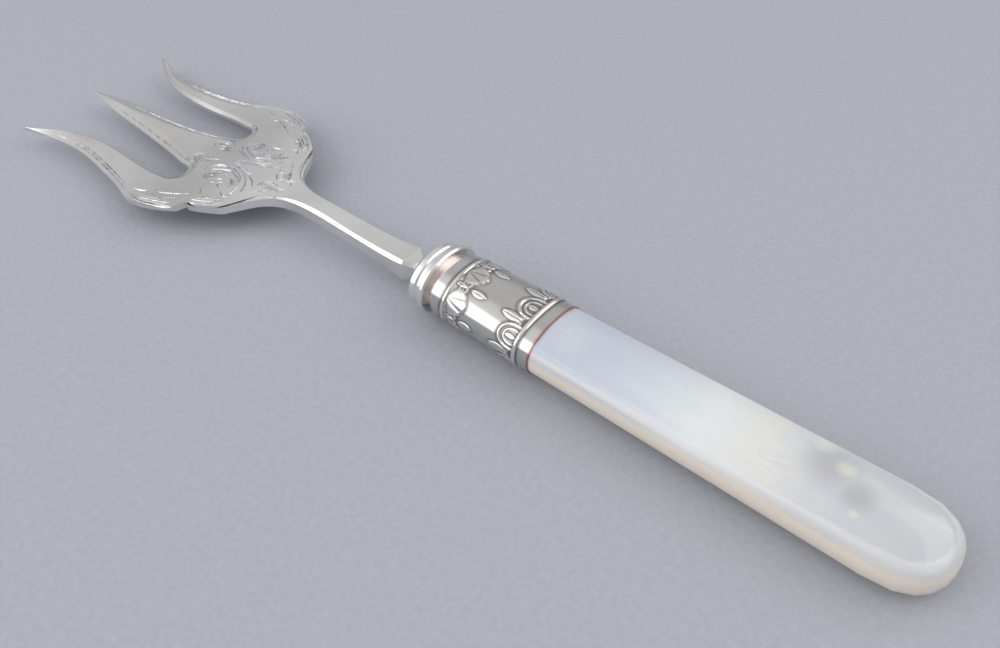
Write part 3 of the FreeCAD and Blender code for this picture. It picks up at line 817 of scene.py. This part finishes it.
def hollowShare(lift):
    # a half on plain places, less in hollows and more on raised ones; the low values give the hollows their
    # tarnish and painted shade
    soft = lift.copy()
    for step in range(ferruleSizes["hollowReach"]):
        soft = (soft + np.roll(soft, 1, 1) + np.roll(soft, -1, 1)) / 3
        soft[1:-1] = (soft[:-2] + soft[1:-1] + soft[2:]) / 3
    return np.clip(0.5 + (lift - soft) / ferruleSizes["hollowRange"], 0, 1)


def ferruleSkin(v, turn, lift):
    # the sleeve's outer points raised by lift, and the two rims of its inner wall
    s = ferruleSizes
    share = v / s["length"]
    sizes = [rear + (front - rear) * share for rear, front in zip(s["rear"], s["front"])]
    halfWidth, halfHeight, squareness = sizes
    y, z = roundedOblong(turn[None, :], squareness)
    outY = signedPower(y, squareness - 1) / halfWidth
    outZ = signedPower(z, squareness - 1) / halfHeight
    size = np.hypot(outY, outZ)
    skins = []
    for out in (lift, -s["wall"]):
        points = [s["rearX"] + v, halfWidth * y + out * outY / size, halfHeight * z + out * outZ / size]
        skins.append(np.stack(points, 2))
    inner = skins[1][[0, -1]]
    return np.concatenate([framePlaces(skins[0].reshape(-1, 3)), framePlaces(inner.reshape(-1, 3))])


def ferruleFaces():
    rows = ferruleSizes["rows"]
    columns = ferruleSizes["columns"]
    # the first point of the front rim and of the two rims of the inner wall; the rear rim's is 0
    front = (rows - 1) * columns
    innerRear = rows * columns
    innerFront = innerRear + columns
    faces = []
    for r in range(rows - 1):
        for c in range(columns):
            a = r * columns + c
            b = r * columns + (c + 1) % columns
            faces.append((a, a + columns, b + columns, b))
    for c in range(columns):
        d = (c + 1) % columns
        faces.append((c, d, innerRear + d, innerRear + c))
        faces.append((innerRear + c, innerRear + d, innerFront + d, innerFront + c))
        faces.append((front + c, innerFront + c, innerFront + d, front + d))
    return faces


def shadeFerrule(bm):
    bmesh.ops.recalc_face_normals(bm, faces=bm.faces)
    for face in bm.faces:
        face.smooth = True
    for edge in bm.edges:
        edge.smooth = edge.calc_face_angle(0) < math.radians(ferruleSizes["sharpTurn"])


def ferruleShell():
    s = ferruleSizes
    turn, around, total = evenTurns()
    cell = total / s["repeats"]
    across = (around + cell / 2) % cell - cell / 2
    v, u = np.meshgrid(np.linspace(0, s["length"], s["rows"]), across, indexing="ij")
    lift = ferruleRelief(v, u, cell)
    mesh = bpy.data.meshes.new("ferruleShell")
    mesh.from_pydata(ferruleSkin(v, turn, lift).tolist(), [], ferruleFaces())
    wornRim = np.clip(1.15 - v / s["rimWear"], 0, 1) ** 2
    plain = np.full(2 * s["columns"], 0.5)
    for name, values in (("hollowness", hollowShare(lift)), ("wornRim", wornRim)):
        layer = mesh.attributes.new(name, "FLOAT", "POINT")
        layer.data.foreach_set("value", np.append(values.ravel(), plain).astype(np.float32))
    editMesh(mesh, shadeFerrule)
    shell = newObject("ferruleShell", mesh, stamped)
    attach(shell, "root")
    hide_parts("ferrule")
    print("ferrule shaped,", len(mesh.polygons), "faces")


gripSizes = {
    "length": 71.3,
    "rear": (8.72, 4.79),          # half width, half height
    "front": (7.41, 4.42),
    "squareness": 2.5,
    "creases": (19, 42, 138, 161, 199, 222, 318, 341),   # degrees round the section
    "creaseWidth": 1.5,
    "sharpTurn": 40,
}


def sectionTurns(places):
    # how far round the handle's section each place lies, in degrees
    s = gripSizes
    share = places[:, 0] / s["length"]
    halfWidth, halfHeight = (rear + (front - rear) * share for rear, front in zip(s["rear"], s["front"]))
    power = s["squareness"] / 2
    sine = signedPower(places[:, 2] / halfHeight, power)
    cosine = signedPower(places[:, 1] / halfWidth, power)
    return np.degrees(np.arctan2(sine, cosine)) % 360


def gripWithCreases():
    s = gripSizes
    mesh = mergedCopy("pearl_handle")
    places = handlePlaces(np.array([vertex.co for vertex in mesh.vertices]))
    turns = sectionTurns(places)
    visible = places[:, 0] < s["length"]

    def crease(bm):
        for face in bm.faces:
            face.smooth = True
        for edge in bm.edges:
            ends = [vertex.index for vertex in edge.verts]
            onCrease = any(np.abs(turns[ends] - turn).max() < s["creaseWidth"] for turn in s["creases"])
            sharp = edge.calc_face_angle(0) >= math.radians(s["sharpTurn"])
            edge.smooth = not sharp and not (onCrease and visible[ends].all())

    editMesh(mesh, crease)
    grip = newObject("pearlGrip", mesh, pearl)
    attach(grip, "root")
    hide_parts("pearl_handle")
    print("grip shaded")


engravedHead()
ferruleShell()
gripWithCreases()


stageLook = {
    "paper": (0.51, 0.53, 0.578),
    "speckScale": 900,
    "speckShare": 0.8,      # how dark the darkest specks are
    "roughness": 0.9,
    "size": 16.0,           # metres
}


def paperFloor():
    paper = stageLook["paper"]
    m = MaterialTree("paper")
    speckle = m.span(m.noise(m.stretched(), stageLook["speckScale"], 2), 0.0, 1.0)
    tone = m.mix(speckle, paper, tuple(stageLook["speckShare"] * c for c in paper))
    m.surface(Base_Color=tone, Roughness=stageLook["roughness"], Specular_IOR_Level=0.1)
    half = stageLook["size"] / 2
    mesh = bpy.data.meshes.new("paperFloor")
    corners = [(-half, -half, 0), (half, -half, 0), (half, half, 0), (-half, half, 0)]
    mesh.from_pydata(corners, [], [(0, 1, 2, 3)])
    floor = newObject("paperFloor", mesh, m.material)


# direction from the fork, then distance, width and height in metres, and power in watts
softboxes = {
    "left": ((0.45, 0.70, 0.55), 0.9, 0.9, 0.8, 3.2),
    "right": ((-0.55, -0.55, 0.62), 0.9, 0.9, 0.7, 2.3),
    "top": ((0.10, 0.15, 0.98), 1.0, 1.0, 0.8, 0.9),
}

# the room's brightness from the horizon (0) to straight above (1)
roomTones = [(0.0, (0.41, 0.42, 0.46)), (0.25, (0.40, 0.40, 0.42)), (0.62, (0.62, 0.62, 0.63)),
             (0.78, (0.62, 0.62, 0.63)), (1.0, (0.46, 0.46, 0.48))]


def studioLight():
    for name, (direction, distance, width, height, power) in softboxes.items():
        light = bpy.data.lights.new(name + "Softbox", "AREA")
        light.shape = "RECTANGLE"
        light.size = width
        light.size_y = height
        light.energy = power
        obj = bpy.data.objects.new(name + "Softbox", light)
        bpy.context.scene.collection.objects.link(obj)
        way = Vector(direction).normalized()
        obj.location = way * distance
        obj.rotation_euler = way.to_track_quat("Z", "Y").to_euler()


def paleRoom():
    world = bpy.data.worlds.new("studio")
    bpy.context.scene.world = world
    world.use_nodes = True
    w = TreeWriter(world.node_tree)
    way = w.add("ShaderNodeTexCoord").outputs["Generated"]
    height = w.add("ShaderNodeSeparateXYZ", {0: way}).outputs["Z"]
    ramp = w.add("ShaderNodeValToRGB", {"Fac": height})
    paintRamp(ramp.color_ramp, roomTones)
    w.put(w.tree.nodes["Background"], "Color", ramp.outputs["Color"])


cameraPlace = {
    "location": (-100.1, 99.1, 128.5),
    "azimuth": -140.81,     # degrees
    "elevation": 44.66,
    "roll": -0.42,
    "lens": 35.91,
    "sensor": 36,
}


def photoCamera():
    data = bpy.data.cameras.new("photoCamera")
    data.lens = cameraPlace["lens"]
    data.sensor_width = cameraPlace["sensor"]
    data.clip_start = 0.005
    obj = bpy.data.objects.new("photoCamera", data)
    bpy.context.scene.collection.objects.link(obj)
    turn = Matrix.Rotation(math.radians(cameraPlace["azimuth"]), 4, "Z")
    tip = Matrix.Rotation(math.radians(90 - cameraPlace["elevation"]), 4, "X")
    roll = Matrix.Rotation(math.radians(cameraPlace["roll"]), 4, "Z")
    obj.matrix_world = Matrix.Translation(Vector(cameraPlace["location"]) * mm) @ turn @ tip @ roll
    bpy.context.scene.camera = obj


paperFloor()
studioLight()
paleRoom()
photoCamera()
bpy.context.scene.view_settings.view_transform = "Standard"
print("stage, light and camera ready")
